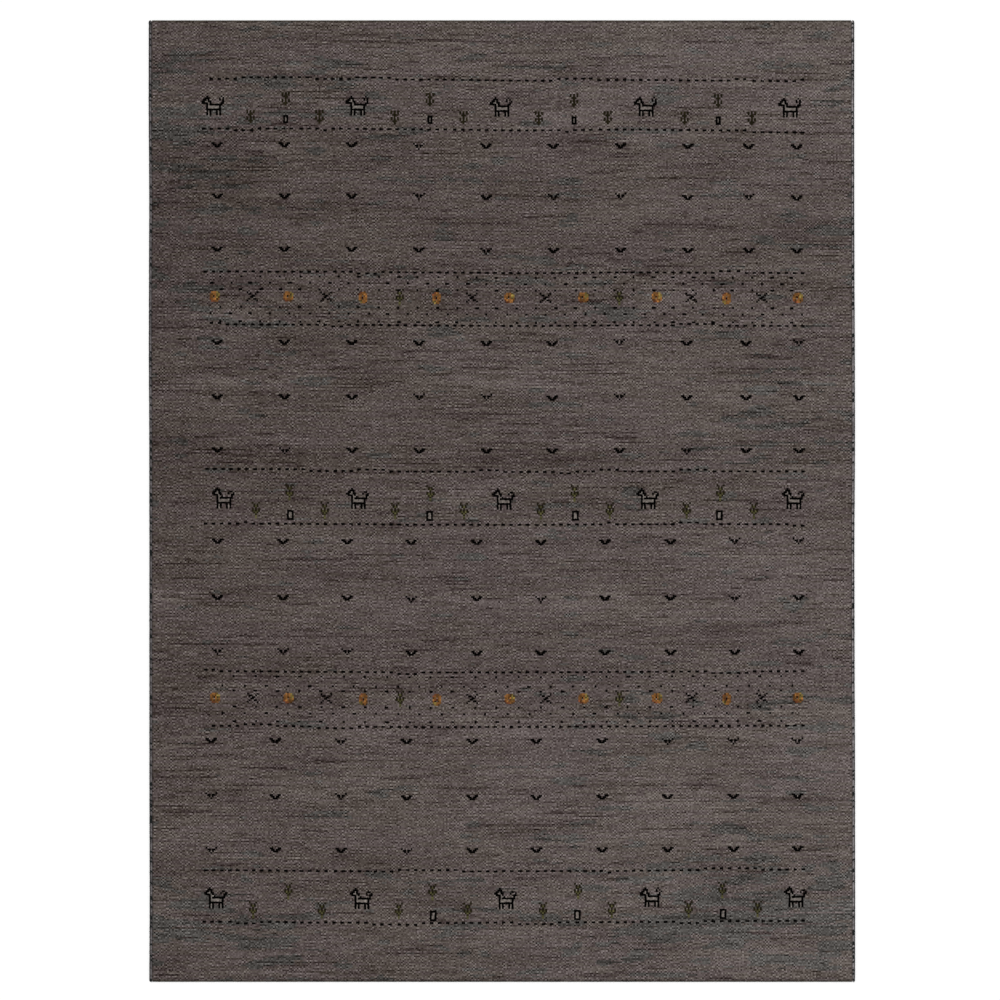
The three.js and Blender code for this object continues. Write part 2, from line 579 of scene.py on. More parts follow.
class Cartoon:
    """The rug's knots as the weaver reads them: colours by row from the far end and by column."""

    def __init__(self, pile):
        self.draw = np.random.default_rng(pile.seed)
        self.shape = (pile.knots_along, pile.knots_across)
        self.colour = ground_wool(pile, self.draw)
        self.figure = np.zeros(self.shape, bool)
        self.column_pitch = (RUG_WIDTH - 2 * FIELD_START) / self.shape[1]
        self.row_pitch = PILE_LENGTH / self.shape[0]
        self.lean = pile.nap_lean

    def column(self, from_left):
        drawn_in = RUG_WIDTH / 2 + (from_left - RUG_WIDTH / 2) * SEEN_ACROSS
        return (drawn_in - FIELD_START - self.lean) / self.column_pitch

    def row(self, from_far):
        drawn_in = RUG_LENGTH / 2 + (from_far - RUG_LENGTH / 2) * SEEN_ALONG
        return (drawn_in - PILE_START) / self.row_pitch

    def work(self, chart, from_left, from_far):
        """Knots a chart with its middle at that place."""
        first_row = round(self.row(from_far) - len(chart) / 2)
        first_column = round(self.column(from_left) - len(chart[0]) / 2)
        for down, line in enumerate(chart):
            for along, mark in enumerate(line):
                if mark == ".":
                    continue
                at = (first_row + down, first_column + along)
                if mark == "w":
                    shade = 1 + YARN_SPREAD * self.draw.normal()
                    self.colour[at] = self.colour[at] * 0.3 + np.array(LIGHT_WOOL) * 0.7 * shade
                    continue
                spread = PETAL_SPREAD if mark in PETAL_MARKS else YARN_SPREAD
                shade = 1 + spread * self.draw.normal()
                self.colour[at] = np.array(WOOLS[mark]) * shade
                self.figure[at] = True

    def dashed_rows(self):
        for row in DASHED_ROWS:
            count = int((DASH_END - row["start"]) / DASH_PITCH)
            stray = soft_patches(self.draw, (1, count + 1), 1, 5)[0]
            for step in range(count + 1):
                place = row["start"] + step * (DASH_END - row["start"]) / count
                self.work(DASH, place, row["from_far"] + ROW_STRAY * stray[step])

    def chevrons(self):
        for field in CHEVRON_FIELDS:
            places = [field["first"] + step * field["pitch"] for step in range(field["count"])]
            for from_far in field["rows"]:
                for place in [*places, *field["last"]]:
                    deep = self.draw.random() < DEEP_SHARE
                    self.work(DEEP_CHEVRON if deep else CHEVRON, place, from_far)

    def goat_bands(self):
        for band in GOAT_BANDS:
            line = band["line"]
            places = [band["first"] + step * band["pitch"] for step in range(len(band["goats"]))]
            places[0] += band["set_in"]
            for place, chart in zip(places, band["goats"]):
                self.work(chart, place, line + band["goat_drop"])
            middles = [(left + right) / 2 for left, right in zip(places[:-1], places[1:])]
            for middle in middles:
                self.work(band["sprig"], middle, line + band["high"])
                for side in (-1, 1):
                    self.work(band["sprig"], middle + side * LOW_SPRIG_REACH, line + band["low"])
            for middle in middles[band["first_box"] :]:
                self.work(band["box"], middle, line + band["box_drop"])

    def blossom_bands(self):
        charts = {"O": BLOSSOM, "S": SLIM_BLOSSOM, "X": CROSS, "P": TALL_SPRIG}
        for band in BLOSSOM_BANDS:
            for step, letter in enumerate(BLOSSOM_ORDER):
                closed_up = max(step - CLOSED_UP_AFTER, 0)
                place = BLOSSOM_FIRST + (step - closed_up) * BLOSSOM_PITCH + closed_up * CLOSED_UP_PITCH
                self.work(charts[letter], place, band["line"] + band["drop"])
            pitch = band["dot_pitch"]
            count = int((DASH_END - band["even_start"]) / pitch) + 1
            for offset, dots, drops in ((0, count, band["even"]), (pitch / 2, count - 1, band["odd"])):
                for drop in drops:
                    for step in range(dots):
                        wide = self.draw.random() < WIDE_DOT_SHARE
                        place = band["even_start"] + offset + step * pitch
                        self.work(DASH if wide else DOT, place, band["line"] + drop)


_cartoon = {}


def cartoon(pile):
    """The finished cartoon, worked once for all the pieces."""
    if "knots" not in _cartoon:
        knots = Cartoon(pile)
        knots.dashed_rows()
        knots.chevrons()
        knots.goat_bands()
        knots.blossom_bands()
        _cartoon["knots"] = knots
    return _cartoon["knots"]


# Meshes


def grid_faces(rows, columns, facing_down=False):
    """Corner numbers of a grid's faces, row by row. Rows run toward -Y and columns toward +X."""
    first = np.arange(rows)[:, None] * (columns + 1) + np.arange(columns)[None, :]
    below = first + columns + 1
    faces = np.stack([below, below + 1, first + 1, first], axis=-1).reshape(-1, 4)
    return faces[:, ::-1] if facing_down else faces


def face_corners(row, column, facing_down=False):
    """The row and column of each corner of grid faces, in the order that grid_faces gives them."""
    rows = np.stack([row + 1, row + 1, row, row], axis=-1)
    columns = np.stack([column, column + 1, column + 1, column], axis=-1)
    if facing_down:
        rows = rows[..., ::-1]
        columns = columns[..., ::-1]
    return rows, columns


def build_piece(name, points, face_sets, material, shades=None, maps=None, smooth=False):
    """One mesh from arrays of points and faces, with a colour for each face and its UV maps."""
    mesh = bpy.data.meshes.new(name)
    mesh.vertices.add(len(points))
    mesh.vertices.foreach_set("co", np.asarray(points, np.float32).ravel())
    corners = np.concatenate([faces.ravel() for faces in face_sets])
    sizes = np.concatenate([np.full(len(faces), faces.shape[1]) for faces in face_sets])
    mesh.loops.add(len(corners))
    mesh.loops.foreach_set("vertex_index", corners.astype(np.int32))
    mesh.polygons.add(len(sizes))
    mesh.polygons.foreach_set("loop_start", (np.cumsum(sizes) - sizes).astype(np.int32))
    mesh.update(calc_edges=True)
    for map_name, values in (maps or {}).items():
        layer = mesh.uv_layers.new(name=map_name, do_init=False)
        layer.data.foreach_set("uv", np.asarray(values, np.float32).ravel())
    if shades is not None:
        attribute = mesh.attributes.new("wool_colour", "FLOAT_COLOR", "FACE")
        rgba = np.concatenate([to_linear(shades), np.ones((len(shades), 1))], axis=1)
        attribute.data.foreach_set("color", rgba.astype(np.float32).ravel())
    if smooth:
        mesh.shade_smooth()
    else:
        mesh.shade_flat()
    if mesh.validate():
        raise RuntimeError(f"{name} has faces that are not sound")
    mesh.materials.append(material)
    piece = bpy.data.objects.new(name, mesh)
    bpy.context.scene.collection.objects.link(piece)
    return piece


def settle(piece, slot, *nodes):
    """Fixes a finished piece to the rug in place of the plain solids it stands for."""
    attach(piece, "root")
    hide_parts(*nodes)
    return piece


# Materials


def shader_nodes(name):
    """A new material with its node tree and its main shader."""
    material = bpy.data.materials.new(name)
    material.use_nodes = True
    tree = material.node_tree
    return material, tree, tree.nodes["Principled BSDF"]


def put(tree, kind, **values):
    """Adds a shader node and sets its inputs by name, with underscores for spaces."""
    node = tree.nodes.new(kind)
    for name, value in values.items():
        node.inputs[name.replace("_", " ")].default_value = value
    return node


def calculate(tree, operation, first, second=None):
    """A math node fed by sockets or numbers."""
    node = tree.nodes.new("ShaderNodeMath")
    node.operation = operation
    for socket, value in zip(node.inputs, (first, second)):
        if isinstance(value, bpy.types.NodeSocket):
            tree.links.new(value, socket)
        elif value is not None:
            socket.default_value = value
    return node.outputs[0]


def noise(tree, scale, detail, roughness=0.6, stretch=(1, 1, 1)):
    """Fibre noise in the rug's own space, finer or coarser along each axis by its stretch."""
    place = tree.nodes.new("ShaderNodeTexCoord")
    mapping = tree.nodes.new("ShaderNodeMapping")
    mapping.inputs["Scale"].default_value = stretch
    tree.links.new(place.outputs["Object"], mapping.inputs["Vector"])
    node = put(tree, "ShaderNodeTexNoise", Scale=scale, Detail=detail, Roughness=roughness)
    tree.links.new(mapping.outputs["Vector"], node.inputs["Vector"])
    return node.outputs["Fac"]


def shaded_wool(tree, grain, low, high):
    """The wool's own colour, lightened and darkened by a grain."""
    own = tree.nodes.new("ShaderNodeAttribute")
    own.attribute_name = "wool_colour"
    spread = put(tree, "ShaderNodeMapRange", To_Min=low, To_Max=high)
    tree.links.new(grain, spread.inputs["Value"])
    mix = tree.nodes.new("ShaderNodeVectorMath")
    mix.operation = "SCALE"
    tree.links.new(own.outputs["Color"], mix.inputs["Vector"])
    tree.links.new(spread.outputs["Result"], mix.inputs["Scale"])
    return mix.outputs["Vector"]


def finish_wool(tree, shader, colour, height, distance, roughness=0.95, sheen=0.01):
    """Sends a colour and a height to the main shader, with wool's dull surface."""
    bump = put(tree, "ShaderNodeBump", Strength=1.0, Distance=distance)
    tree.links.new(height, bump.inputs["Height"])
    tree.links.new(colour, shader.inputs["Base Color"])
    tree.links.new(bump.outputs["Normal"], shader.inputs["Normal"])
    shader.inputs["Roughness"].default_value = roughness
    shader.inputs["Specular IOR Level"].default_value = 0.01
    shader.inputs["Sheen Weight"].default_value = sheen
    shader.inputs["Sheen Roughness"].default_value = 0.6


def pile_material():
    """Cut wool pile: a rounded tuft for each knot, its cut fibres, and its own colour."""
    material, tree, shader = shader_nodes("sheared_wool_pile")
    knots = tree.nodes.new("ShaderNodeUVMap")
    knots.uv_map = "knots"
    split = tree.nodes.new("ShaderNodeSeparateXYZ")
    tree.links.new(knots.outputs["UV"], split.inputs["Vector"])
    domes = []
    for axis in ("X", "Y"):
        turn = calculate(tree, "MULTIPLY", split.outputs[axis], math.pi)
        domes.append(calculate(tree, "ABSOLUTE", calculate(tree, "SINE", turn)))
    dome = calculate(tree, "MULTIPLY", domes[0], domes[1])
    rounded = calculate(tree, "POWER", dome, 0.5)
    fibres = noise(tree, 1100, 2)
    height = calculate(tree, "ADD", rounded, calculate(tree, "MULTIPLY", fibres, 1.4))
    colour = shaded_wool(tree, fibres, 0.72, 1.28)
    finish_wool(tree, shader, colour, height, 0.0006)
    return material


def tuft_material():
    """The same wool on the loose tufts at the rim."""
    material, tree, shader = shader_nodes("rim_wool")
    fibres = noise(tree, 2200, 2)
    colour = shaded_wool(tree, fibres, 0.8, 1.2)
    finish_wool(tree, shader, colour, fibres, 0.0002)
    return material


def back_material():
    """The woven back: ridges of weft between the warps, and the foot of each knot in its own shade."""
    material, tree, shader = shader_nodes("woven_back_wool")
    place = tree.nodes.new("ShaderNodeTexCoord")
    split = tree.nodes.new("ShaderNodeSeparateXYZ")
    tree.links.new(place.outputs["Object"], split.inputs["Vector"])
    ridge_turn = 2 * math.pi / BACK_KNOT
    warp = calculate(tree, "SINE", calculate(tree, "MULTIPLY", split.outputs["X"], ridge_turn))
    weft = calculate(tree, "SINE", calculate(tree, "MULTIPLY", split.outputs["Y"], ridge_turn))
    ridges = calculate(tree, "ADD", calculate(tree, "MULTIPLY", warp, 0.5), weft)
    streaks = noise(tree, 60, 4, 0.7, stretch=(1, 9, 1))
    height = calculate(tree, "ADD", ridges, calculate(tree, "MULTIPLY", streaks, 1.5))

    foot = tree.nodes.new("ShaderNodeVectorMath")
    foot.operation = "SNAP"
    foot.inputs[1].default_value = (BACK_KNOT, BACK_KNOT, 1)
    tree.links.new(place.outputs["Object"], foot.inputs[0])
    shade = tree.nodes.new("ShaderNodeTexWhiteNoise")
    tree.links.new(foot.outputs["Vector"], shade.inputs["Vector"])
    grain = calculate(tree, "ADD", calculate(tree, "MULTIPLY", shade.outputs["Value"], 0.5), streaks)
    colour = shaded_wool(tree, calculate(tree, "SUBTRACT", grain, 0.25), 0.55, 1.45)
    finish_wool(tree, shader, colour, height, 0.0004)
    return material


def cord_material():
    """Overcast yarn: fine strands twisted round the cord."""
    material, tree, shader = shader_nodes("overcast_yarn")
    strands = noise(tree, 900, 3, 0.6, stretch=(1, 2.2, 1))
    colour = shaded_wool(tree, strands, 0.65, 1.35)
    finish_wool(tree, shader, colour, strands, 0.0004, roughness=0.9)
    return material


def floor_material():
    """A plain pale floor with the faintest unevenness."""
    material, tree, shader = shader_nodes("pale_floor")
    cloud = noise(tree, 1.5, 2)
    spread = put(tree, "ShaderNodeMapRange", To_Min=0.955, To_Max=0.965)
    tree.links.new(cloud, spread.inputs["Value"])
    tree.links.new(spread.outputs["Result"], shader.inputs["Base Color"])
    shader.inputs["Roughness"].default_value = 0.9
    shader.inputs["Specular IOR Level"].default_value = 0.1
    return material


# Properties


class RugPileSettings(bpy.types.PropertyGroup):
    knots_across: IntProperty(name="Knots across", description="Knots in a row", default=437)
    knots_along: IntProperty(name="Knots along", description="Rows of knots", default=598)
    bands: IntProperty(name="Bands", description="Pieces that the pile is made in", default=5)
    seed: IntProperty(name="Seed", description="Seed of the random draws", default=11)
    nap_lean: FloatProperty(
        name="Nap lean",
        description="How far the pile's top leans to the right",
        default=0.0015,
        unit="LENGTH",
    )
    rim_splay: FloatProperty(
        name="Rim splay",
        description="How far the outermost tufts splay over the side cords",
        default=0.0024,
        unit="LENGTH",
    )
    tuft_wander: FloatProperty(
        name="Tuft wander",
        description="How far a knot's corners stray",
        default=0.00045,
        unit="LENGTH",
    )
    bloom: FloatProperty(
        name="Bloom",
        description="How far the fuller tufts of the figures push their neighbours aside",
        default=0.0007,
        unit="LENGTH",
    )
    yarn_run: FloatProperty(name="Yarn run", description="Mean knots in one shade of yarn", default=9.0)
    streak_run: FloatProperty(name="Streak run", description="Mean knots in a dark streak", default=13.0)
    streak_share: FloatProperty(
        name="Streaks", description="Share of dark streaks", default=0.085, subtype="FACTOR"
    )
    knot_spread: FloatProperty(
        name="Knot spread", description="Spread of the knots' lightness", default=0.24, subtype="FACTOR"
    )
    run_spread: FloatProperty(
        name="Run spread", description="Spread of the yarns' lightness", default=0.065, subtype="FACTOR"
    )
    row_spread: FloatProperty(
        name="Row spread", description="Spread of the rows' lightness", default=0.035, subtype="FACTOR"
    )
    patch_spread: FloatProperty(
        name="Patch spread", description="Spread of the soft patches", default=0.035, subtype="FACTOR"
    )
    side_light: FloatProperty(
        name="Side light", description="How much lighter the right side is", default=0.17, subtype="FACTOR"
    )
    rim_tufts: IntProperty(name="Rim tufts", description="Loose tufts round the rim", default=30000)


class RugEdgeSettings(bpy.types.PropertyGroup):
    turn_pitch: FloatProperty(
        name="Turn pitch", description="Length of cord to one turn of yarn", default=0.005, unit="LENGTH"
    )
    turn_bulge: FloatProperty(
        name="Turn bulge", description="How far a turn of yarn stands proud", default=0.0004, unit="LENGTH"
    )
    # Painted shade: the outer side's yarn is drawn darker, partly for the steep side that gets less of the
    # light from above.
    outer_yarn_and_shade: FloatVectorProperty(
        name="Outer side", description="Yarn on the outer side", default=(0.19, 0.18, 0.18), subtype="COLOR"
    )
    # Painted light: the inner side's yarn is drawn lighter against the shadow of the pile beside it.
    inner_yarn_and_light: FloatVectorProperty(
        name="Inner side", description="Yarn on the inner side", default=(0.40, 0.385, 0.39), subtype="COLOR"
    )
    right_lighter: FloatProperty(
        name="Right cord", description="How much lighter the right cord's yarn is", default=1.3, min=0
    )
    dark_turns: FloatProperty(
        name="Dark turns' share", description="Share of dark turns", default=0.22, subtype="FACTOR"
    )
    bead_colour: FloatVectorProperty(
        name="Dark turns", description="Yarn of the dark turns", default=(0.12, 0.13, 0.13), subtype="COLOR"
    )
    hem_colour: FloatVectorProperty(
        name="Hem", description="Yarn of the woven hems", default=(0.28, 0.26, 0.23), subtype="COLOR"
    )


class RugStageSettings(bpy.types.PropertyGroup):
    camera_height: FloatProperty(
        name="Camera height", description="Height of the camera", default=7.081, unit="LENGTH"
    )
    lens: FloatProperty(name="Lens", description="Focal length", default=100.0, unit="CAMERA")
    sky: FloatProperty(name="Sky", description="Strength of the light all round", default=0.44)
    key: FloatProperty(name="Key", description="Strength of the main light", default=2.2)


# Pieces


def rim_profile(inset):
    """How far the pile's top lies below its middle at a distance in from the rim."""
    return read_table(SHOULDER, "inset", "drop", inset)


def figure_bloom(figure, walls):
    """Which way each knot's corner is pushed by the figures' fuller tufts: right, and to the far end."""
    around = np.pad(figure.astype(float), walls + 1)
    far_left, far_right = around[:-1, :-1], around[:-1, 1:]
    near_left, near_right = around[1:, :-1], around[1:, 1:]
    right = far_left + near_left - far_right - near_right
    far = near_left + near_right - far_left - far_right
    return np.clip(right, -1, 1), np.clip(far, -1, 1)


def pile_points(pile, figure, draw):
    """Corners of all the knots, with the pile's walls round them: rows, columns, x y z."""
    rows, columns = pile.knots_along, pile.knots_across
    walls = len(WALL_HEIGHTS)
    row = np.clip(np.arange(rows + 1 + 2 * walls) - walls, 0, rows) / rows
    column = np.clip(np.arange(columns + 1 + 2 * walls) - walls, 0, columns) / columns
    shape = (len(row), len(column))
    y = FAR_END - PILE_START - row[:, None] * PILE_LENGTH
    left, right = field_edges(y[:, 0])
    x = left[:, None] + column[None, :] * (right - left)[:, None]
    y = y + row_sag(column[None, :], row[:, None])
    inset_across = np.minimum(column, 1 - column)[None, :] * (right - left)[:, None]
    inset_along = np.minimum(row, 1 - row)[:, None] * PILE_LENGTH
    inset = np.minimum(inset_across, inset_along)
    top = PILE_TOP - rim_profile(inset) + sheared_roll(x * np.ones(shape), y)
    z = top + pile.tuft_wander * 0.6 * draw.normal(size=shape).clip(-2, 2)
    z = z + pile.tuft_wander * 0.3 * draw.normal(size=(shape[0], 1)).clip(-2, 2)

    bloom_x, bloom_y = figure_bloom(figure, walls)
    x = x + pile.bloom * bloom_x
    y = y + pile.bloom * bloom_y
    inner = np.clip(inset / 0.004, 0, 1)
    x = x + inner * pile.tuft_wander * draw.normal(size=shape).clip(-2, 2)
    y = y + inner * pile.tuft_wander * draw.normal(size=shape).clip(-2, 2)
    side = np.sign(column - 0.5)[None, :]
    near_rim = np.clip(1 - inset_across / 0.012, 0, 1)
    reach = np.clip((z - CORD_HIGH * 0.8) / (PILE_TOP - CORD_HIGH * 0.8), 0, 1)
    x = x + reach * (pile.nap_lean + side * pile.rim_splay * near_rim)

    for ring, height in enumerate(WALL_HEIGHTS):
        for index in (ring, shape[0] - 1 - ring):
            z[index, :] = np.minimum(z[index, :], height)
        for index in (ring, shape[1] - 1 - ring):
            z[:, index] = np.minimum(z[:, index], height)
    return np.stack([x * np.ones(shape), y * np.ones(shape), z], axis=-1)


def framed(values, width):
    """An array with its rim repeated outward by some cells."""
    return np.pad(values, ((width, width), (width, width), (0, 0)), mode="edge")


class RUG_OT_knotted_pile(bpy.types.Operator):
    """Knots the pile, one face for each knot, in bands that meet edge to edge"""

    bl_idname = "rug.knotted_pile"
    bl_label = "Knotted pile"

    def execute(self, context):
        pile = context.scene.rug_pile
        knots = cartoon(pile)
        draw = np.random.default_rng(pile.seed + 1)
        points = pile_points(pile, knots.figure, draw)
        walls = len(WALL_HEIGHTS)
        shades = framed(knots.colour, walls)
        rows, columns = shades.shape[:2]
        row = np.arange(rows)[:, None]
        column = np.arange(columns)[None, :]
        wall_row = (row < walls) | (row >= rows - walls)
        wall_column = (column < walls) | (column >= columns - walls)
        # Painted light: the walls' wool is drawn lighter against the shade that falls between the pile and
        # the cords.
        shades = shades * np.where(wall_row | wall_column, WALL_PAINTED_LIGHT, 1.0)[..., None]
        material = pile_material()
        cuts = np.linspace(0, rows, pile.bands + 1).round().astype(int)
        for number, (start, stop) in enumerate(zip(cuts[:-1], cuts[1:]), 1):
            count = stop - start
            band = points[start : stop + 1].reshape(-1, 3)
            at_row, at_column = np.meshgrid(np.arange(count), np.arange(columns), indexing="ij")
            corner_rows, corner_columns = face_corners(at_row.ravel(), at_column.ravel())
            baked = np.stack([corner_columns / columns, 1 - corner_rows / count], axis=-1)
            counted = np.stack([corner_columns, corner_rows + start], axis=-1)
            piece = build_piece(
                f"pile_band_{number}",
                band,
                [grid_faces(count, columns)],
                material,
                shades=shades[start:stop].reshape(-1, 3),
                maps={"OFBake": baked, "knots": counted},
            )
            settle(piece, "pile_wool", "knotted_field")
        return {"FINISHED"}


def cell_grid(count):
    """Corners of equal cells that fill the square map, and the width of one."""
    side = math.ceil(math.sqrt(count))
    number = np.arange(count)
    corner = np.stack([number % side, number // side], axis=-1) / side
    return corner, 1 / side


class RUG_OT_rim_tufts(bpy.types.Operator):
    """Sets loose tufts round the rim, where the outermost knots splay over the cords and hems"""

    bl_idname = "rug.rim_tufts"
    bl_label = "Rim tufts"

    def execute(self, context):
        pile = context.scene.rug_pile
        knots = cartoon(pile)
        draw = np.random.default_rng(pile.seed + 2)
        count = pile.rim_tufts
        place = draw.random(count) * (2 * RUG_WIDTH + 2 * RUG_LENGTH)
        limits = np.cumsum([RUG_WIDTH, RUG_LENGTH, RUG_WIDTH, RUG_LENGTH])
        side = np.searchsorted(limits, place)
        share = (place - (limits - [RUG_WIDTH, RUG_LENGTH, RUG_WIDTH, RUG_LENGTH])[side]) / np.array(
            [RUG_WIDTH, RUG_LENGTH, RUG_WIDTH, RUG_LENGTH]
        )[side]
        inset = draw.uniform(0.0002, 0.0042, count)
        across = np.select([side == 0, side == 1, side == 2], [share, 1.0, share], 0.0)
        from_far = np.select([side == 0, side == 1, side == 2], [0.0, share, 1.0], share)
        outward = np.array([(0, 1), (1, 0), (0, -1), (-1, 0)])[side]
        y = FAR_END - PILE_START - from_far * PILE_LENGTH
        left, right = field_edges(y)
        x = left + across * (right - left)
        x = x - outward[:, 0] * inset
        y = y - outward[:, 1] * inset
        high = PILE_TOP - rim_profile(inset) + sheared_roll(x, y)
        root = np.stack([x, y, high - draw.uniform(0.0022, 0.0042, count)], axis=-1)
        splay = draw.uniform(0.0004, 0.0026, count) * np.where(outward[:, 1] != 0, 0.7, 1.0)
        drift = draw.normal(size=(count, 2)) * 0.0006
        tip = root + np.stack(
            [
                outward[:, 0] * splay + drift[:, 0] + pile.nap_lean * 0.8,
                outward[:, 1] * splay + drift[:, 1],
                draw.uniform(0.0022, 0.0044, count),
            ],
            axis=-1,
        )
        radius = draw.uniform(0.0005, 0.0009, count)
        turn = draw.uniform(0, 2 * math.pi, count)
        points = np.zeros((count, 4, 3))
        for corner in range(3):
            angle = turn + corner * 2 * math.pi / 3
            points[:, corner] = root
            points[:, corner, 0] += radius * np.cos(angle)
            points[:, corner, 1] += radius * np.sin(angle)
        points[:, 3] = tip
        base = np.arange(count)[:, None] * 4
        faces = (base[:, None, :] + np.array([(0, 1, 3), (1, 2, 3), (2, 0, 3)])[None]).reshape(-1, 3)
        row = np.clip(from_far * knots.shape[0], 0, knots.shape[0] - 1).astype(int)
        column = np.clip(across * knots.shape[1], 0, knots.shape[1] - 1).astype(int)
        shade = knots.colour[row, column] * draw.uniform(0.85, 1.2, count)[:, None]
        corner, width = cell_grid(count)
        spots = np.array([(0.05, 0.05), (0.95, 0.05), (0.5, 0.95), (0.5, 0.35)]) * width
        spread = corner[:, None, :] + spots[None]
        baked = spread.reshape(-1, 2)[faces]
        piece = build_piece(
            "pile_rim_tufts",
            points.reshape(-1, 3),
            [faces],
            tuft_material(),
            shades=np.repeat(shade, 3, axis=0),
            maps={"OFBake": baked},
        )
        settle(piece, "pile_wool", "knotted_field")
        return {"FINISHED"}


def back_profile():
    """The line of the web from under the pile, round the far hem, along the floor and round the near
    hem: places along the rug, heights, and whether each stretch is hem."""
    turn = [
        (PILE_START + 0.002, HEM_THICKNESS),
        (PILE_START - 0.0004, HEM_THICKNESS),
        (0.0022, HEM_THICKNESS),
        (0.0007, 0.0042),
        (0.0, 0.0026),
        (0.0007, 0.0012),
        (0.0022, BACK_HEIGHT),
        (PILE_START, BACK_HEIGHT),
    ]
    floor_rows = 196
    step = (RUG_LENGTH - 2 * PILE_START) / floor_rows
    flat = [(PILE_START + number * step, BACK_HEIGHT) for number in range(1, floor_rows)]
    far = [(FAR_END - inset, height) for inset, height in turn]
    near = [(NEAR_END + inset, height) for inset, height in reversed(turn)]
    middle = [(FAR_END - inset, height) for inset, height in flat]
    line = np.array(far + middle + near)
    hem = np.zeros(len(line) - 1, bool)
    hem[: len(turn) - 1] = True
    hem[-(len(turn) - 1) :] = True
    return line[:, 0], line[:, 1], hem


class RUG_OT_woven_back(bpy.types.Operator):
    """Weaves the back of the rug and turns its web under at each end as a hem"""

    bl_idname = "rug.woven_back"
    bl_label = "Woven back"

    def execute(self, context):
        pile = context.scene.rug_pile
        edge = context.scene.rug_edges
        knots = cartoon(pile)
        draw = np.random.default_rng(pile.seed + 3)
        along, height, hem = back_profile()
        columns = 148
        across = np.clip((np.arange(columns + 1) - 1) / (columns - 2), 0, 1)
        left, right = field_edges(along)
        x = left[:, None] + across[None, :] * (right - left)[:, None]
        y = along[:, None] * np.ones_like(x)
        z = height[:, None] * np.ones_like(x)
        turned_up = np.where(height < PILE_FOOT, 0.003, height)
        z[:, 0] = turned_up
        z[:, -1] = turned_up
        ripple = draw.normal(size=x.shape).clip(-2, 2)
        z = z + 0.00012 * ripple * (height[:, None] > 0.0002)
        hem_wave = soft_patches(draw, x.shape, 400, 4)
        z = z + np.where(height[:, None] > 0.004, 0.0003 * hem_wave, 0)

        middle_row = np.clip((FAR_END - PILE_START - (along[:-1] + along[1:]) / 2) / PILE_LENGTH, 0, 0.999)
        knot_row = (middle_row * knots.shape[0]).astype(int)
        knot_column = np.clip((np.arange(columns) - 0.5) / (columns - 2), 0, 0.999)
        knot_column = (knot_column * knots.shape[1]).astype(int)
        # The ground's shade goes with the knots above it. The figures' knots hardly count, for they
        # are laid over the back one by one.
        weight = np.where(knots.figure, 0.001, 1.0)
        light = knots.colour.mean(axis=2) * weight
        total = 0
        share = 0
        for down in (-1, 0, 1):
            near_row = np.clip(knot_row + down, 0, knots.shape[0] - 1)
            for along_row in (-1, 0, 1):
                near_column = np.clip(knot_column + along_row, 0, knots.shape[1] - 1)
                total = total + light[near_row][:, near_column]
                share = share + weight[near_row][:, near_column]
        shade = np.array(BEIGE_FLEECE) * (total / share / np.mean(BEIGE_FLEECE))[..., None]
        hem_shade = np.array(edge.hem_colour) * draw.uniform(0.6, 1.3, size=shade.shape[:2])[..., None]
        shade = np.where(hem[:, None, None], hem_shade, shade * 0.95)

        rows = len(along) - 1
        at_row, at_column = np.meshgrid(np.arange(rows), np.arange(columns), indexing="ij")
        corner_rows, corner_columns = face_corners(at_row.ravel(), at_column.ravel(), facing_down=True)
        baked = np.stack([corner_columns / columns, 1 - corner_rows / rows], axis=-1)
        piece = build_piece(
            "woven_back",
            np.stack([x, y, z], axis=-1).reshape(-1, 3),
            [grid_faces(rows, columns, facing_down=True)],
            back_material(),
            shades=shade.reshape(-1, 3),
            maps={"OFBake": baked},
            smooth=True,
        )
        settle(piece, "pile_wool", "knotted_field")
        return {"FINISHED"}


class RUG_OT_figure_knots(bpy.types.Operator):
    """Raises the loops of the figures' knots on the back, where their wool shows through"""

    bl_idname = "rug.figure_knots"
    bl_label = "Figure knots on the back"

    def execute(self, context):
        pile = context.scene.rug_pile
        knots = cartoon(pile)
        row, column = np.nonzero(knots.figure)
        count = len(row)
        from_far = (row + 0.5) / knots.shape[0]
        across = (column + 0.5) / knots.shape[1]
        y = FAR_END - PILE_START - from_far * PILE_LENGTH
        left, right = field_edges(y)
        x = left + across * (right - left)
        y = y + row_sag(across, from_far)
        half = (knots.column_pitch * 0.46, knots.row_pitch * 0.46)
        offsets = np.array([(-1, -1), (1, -1), (1, 1), (-1, 1), (0, 0)])
        points = np.zeros((count, 5, 3))
        points[:, :, 0] = x[:, None] + offsets[:, 0] * half[0]
        points[:, :, 1] = y[:, None] + offsets[:, 1] * half[1]
        points[:, :4, 2] = BACK_HEIGHT - 0.00015
        points[:, 4, 2] = 0.0001
        base = np.arange(count)[:, None] * 5
        around = np.array([(1, 0, 4), (2, 1, 4), (3, 2, 4), (0, 3, 4)])
        faces = (base[:, None, :] + around[None]).reshape(-1, 3)
        corner, width = cell_grid(count)
        spots = np.array([(0.05, 0.05), (0.95, 0.05), (0.95, 0.95), (0.05, 0.95), (0.5, 0.5)]) * width
        baked = (corner[:, None, :] + spots[None]).reshape(-1, 2)[faces]
        piece = build_piece(
            "figure_knots_on_back",
            points.reshape(-1, 3),
            [faces],
            tuft_material(),
            shades=np.repeat(knots.colour[row, column], 4, axis=0),
            maps={"OFBake": baked},
        )
        settle(piece, "pile_wool", "knotted_field")
        return {"FINISHED"}


CORD_SIDES = 12
RINGS_IN_TURN = 4
MAP_STRIPS = 8


